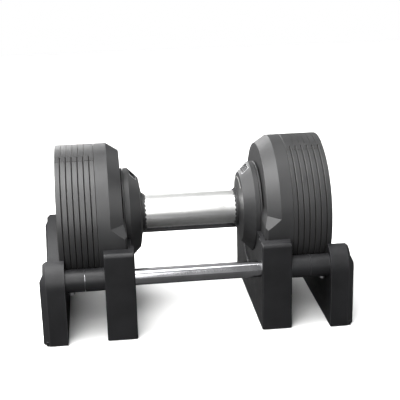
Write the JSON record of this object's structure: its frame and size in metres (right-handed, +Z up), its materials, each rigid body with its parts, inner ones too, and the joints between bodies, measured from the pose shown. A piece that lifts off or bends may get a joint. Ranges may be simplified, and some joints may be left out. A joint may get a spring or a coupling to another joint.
{
  "type": "adjustable dumbbell",
  "caption": "Adjustable dumbbell with a twist grip that picks up disc plates from its own two-ended cradle.",
  "frame": {"origin": "middle of the cradle footprint, on the surface that it stands on", "axes": "+Z up, +X along the handle"},
  "size_m": [0.379, 0.219, 0.217],
  "materials": {
    "stand_plastic": "fine-grained satin black",
    "tube_steel": "polished",
    "screw_steel": "zinc",
    "pad_rubber": "matt",
    "plate_coat": "satin black powder coat",
    "cover_plastic": "satin black",
    "disc_coat": "satin black",
    "hub_plastic": "satin black",
    "flange_coat": "satin black",
    "lens": "clear",
    "grip_chrome": "satin brushed chrome",
    "inner_steel": "machined",
    "bronze": "sintered bronze",
    "ring_black": "black",
    "number_dial": "light grey with printed numbers",
    "spring_steel": "drawn wire"
  },
  "bodies": {
    "cradle": {"inner_stand_left": "stand_plastic", "inner_stand_right": "stand_plastic", "outer_stand_left": "stand_plastic", "outer_stand_right": "stand_plastic", "front_tube": "tube_steel", "rear_tube": "tube_steel", "tube_screws": "screw_steel", "foot_pads": "pad_rubber"},
    "thin_pair_6": {"thin_plate_6_left": "plate_coat", "thin_plate_6_right": "plate_coat", "face_disc_left": "disc_coat", "face_disc_right": "disc_coat"},
    "thin_pair_5": {"thin_plate_5_left": "plate_coat", "thin_plate_5_right": "plate_coat"},
    "thin_pair_4": {"thin_plate_4_left": "plate_coat", "thin_plate_4_right": "plate_coat"},
    "thin_pair_3": {"thin_plate_3_left": "plate_coat", "thin_plate_3_right": "plate_coat"},
    "thin_pair_2": {"thin_plate_2_left": "plate_coat", "thin_plate_2_right": "plate_coat"},
    "thin_pair_1": {"thin_plate_1_left": "plate_coat", "thin_plate_1_right": "plate_coat"},
    "thick_pair": {"thick_plate_cover_left": "cover_plastic", "thick_plate_cover_right": "cover_plastic", "thick_plate_core_left": "plate_coat", "thick_plate_core_right": "plate_coat"},
    "handle": {"hub_cover_left": "hub_plastic", "hub_cover_right": "hub_plastic", "hub_flange_left": "flange_coat", "hub_flange_right": "flange_coat", "flange_screws": "screw_steel", "guide_tube": "inner_steel", "end_bush_left": "bronze", "end_bush_right": "bronze", "grip_bearing_left": "bronze", "grip_bearing_right": "bronze", "window_lens_left": "lens", "window_lens_right": "lens", "lock_spring_left": "spring_steel", "lock_spring_right": "spring_steel", "index_spring": "spring_steel"},
    "grip": {"grip_tube": "grip_chrome", "cam_sleeve": "inner_steel", "index_ring": "inner_steel", "grip_ring_left": "ring_black", "grip_ring_right": "ring_black", "number_ring_left": "number_dial", "number_ring_right": "number_dial"},
    "rod_left": {"rod_left": "inner_steel", "follower_pin_left": "inner_steel"},
    "rod_right": {"rod_right": "inner_steel", "follower_pin_right": "inner_steel"},
    "lock_pin_left": {"lock_pin_left": "inner_steel"},
    "lock_pin_right": {"lock_pin_right": "inner_steel"},
    "index_ball": {"index_ball": "inner_steel"}
  },
  "joints": [
    {"name": "thin_pair_6_lift", "type": "slide", "parent": "cradle", "child": "thin_pair_6", "axis": [0, 0, 1], "range_m": [0, 0.104]},
    {"name": "thin_pair_5_lift", "type": "slide", "parent": "thin_pair_6", "child": "thin_pair_5", "axis": [0, 0, 1], "range_m": [0, 0.104]},
    {"name": "thin_pair_4_lift", "type": "slide", "parent": "thin_pair_5", "child": "thin_pair_4", "axis": [0, 0, 1], "range_m": [0, 0.104]},
    {"name": "thin_pair_3_lift", "type": "slide", "parent": "thin_pair_4", "child": "thin_pair_3", "axis": [0, 0, 1], "range_m": [0, 0.104]},
    {"name": "thin_pair_2_lift", "type": "slide", "parent": "thin_pair_3", "child": "thin_pair_2", "axis": [0, 0, 1], "range_m": [0, 0.104]},
    {"name": "thin_pair_1_lift", "type": "slide", "parent": "thin_pair_2", "child": "thin_pair_1", "axis": [0, 0, 1], "range_m": [0, 0.104]},
    {"name": "thick_pair_lift", "type": "slide", "parent": "thin_pair_1", "child": "thick_pair", "axis": [0, 0, 1], "range_m": [0, 0.104]},
    {"name": "handle_lift", "type": "slide", "parent": "thick_pair", "child": "handle", "axis": [0, 0, 1], "range_m": [0, 0.104]},
    {"name": "grip_turn", "type": "hinge", "parent": "handle", "child": "grip", "pos_m": [0, 0, 0.127], "axis": [1, 0, 0], "range_deg": [0, 315]},
    {"name": "rod_left_slide", "type": "slide", "parent": "handle", "child": "rod_left", "axis": [-1, 0, 0], "range_m": [0, 0.0779]},
    {"name": "rod_right_slide", "type": "slide", "parent": "handle", "child": "rod_right", "axis": [1, 0, 0], "range_m": [0, 0.0779]},
    {"name": "lock_pin_left_press", "type": "slide", "parent": "handle", "child": "lock_pin_left", "axis": [0, 0, 1], "range_m": [0, 0.004], "stiffness_N_per_m": 300, "springref_m": -0.003, "deforming": ["lock_spring_left"]},
    {"name": "lock_pin_right_press", "type": "slide", "parent": "handle", "child": "lock_pin_right", "axis": [0, 0, 1], "range_m": [0, 0.004], "stiffness_N_per_m": 300, "springref_m": -0.003, "deforming": ["lock_spring_right"]},
    {"name": "index_ball_click", "type": "slide", "parent": "handle", "child": "index_ball", "axis": [0, 0, 1], "range_m": [0, 0.0012], "stiffness_N_per_m": 500, "springref_m": 0.004, "deforming": ["index_spring"]}
  ],
  "couplings": [
    {"joint": "rod_left_slide", "follows": "grip_turn", "m_per_rad": 0.014133},
    {"joint": "rod_right_slide", "follows": "grip_turn", "m_per_rad": 0.014133}
  ]
}
